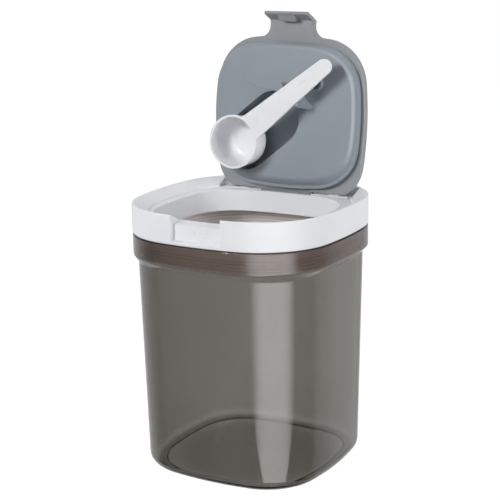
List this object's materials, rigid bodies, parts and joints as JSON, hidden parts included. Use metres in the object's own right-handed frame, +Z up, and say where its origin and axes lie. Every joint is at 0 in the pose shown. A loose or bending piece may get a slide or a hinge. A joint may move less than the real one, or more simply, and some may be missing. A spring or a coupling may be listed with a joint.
{
  "type": "formula dispenser",
  "caption": "Smoke-grey rounded-square formula jar with a white lift-off funnel collar and a hinged latching lid that carries a sealing plug and a clipped measuring scoop.",
  "frame": {"origin": "centre of the jar's base, on the surface it stands on", "axes": "+Z up, the latch side towards -Y, the hinge side towards +Y, +X to the right when facing the latch"},
  "size_m": [0.115, 0.115, 0.2398],
  "materials": {
    "smoke_plastic": "clear smoke-grey, glossy",
    "white_plastic": "white, satin gloss",
    "dark_silicone": "soft matte",
    "pin_steel": "drawn steel",
    "lid_plastic": "warm grey, satin",
    "plug_plastic": "blue grey, satin",
    "seal_silicone": "soft matte",
    "scoop_plastic": "white, glossy"
  },
  "bodies": {
    "base": {"jar": "smoke_plastic"},
    "collar": {"collar_ring": "white_plastic", "jar_gasket": "dark_silicone", "hinge_pin": "pin_steel"},
    "lid": {"lid_cover": "lid_plastic", "lid_plug": "plug_plastic", "lid_seal": "seal_silicone"},
    "scoop": {"scoop": "scoop_plastic"}
  },
  "joints": [
    {"name": "collar_lift", "type": "slide", "parent": "base", "child": "collar", "axis": [0, 0, 1], "range_m": [0, 0.04]},
    {"name": "lid_hinge", "type": "hinge", "parent": "collar", "child": "lid", "pos_m": [0, 0.0396, 0.1396], "axis": [1, 0, 0], "range_deg": [0, 94.5]},
    {"name": "scoop_release", "type": "slide", "parent": "lid", "child": "scoop", "axis": [0, -0.9969, 0.0785], "range_m": [0, 0.03]}
  ]
}
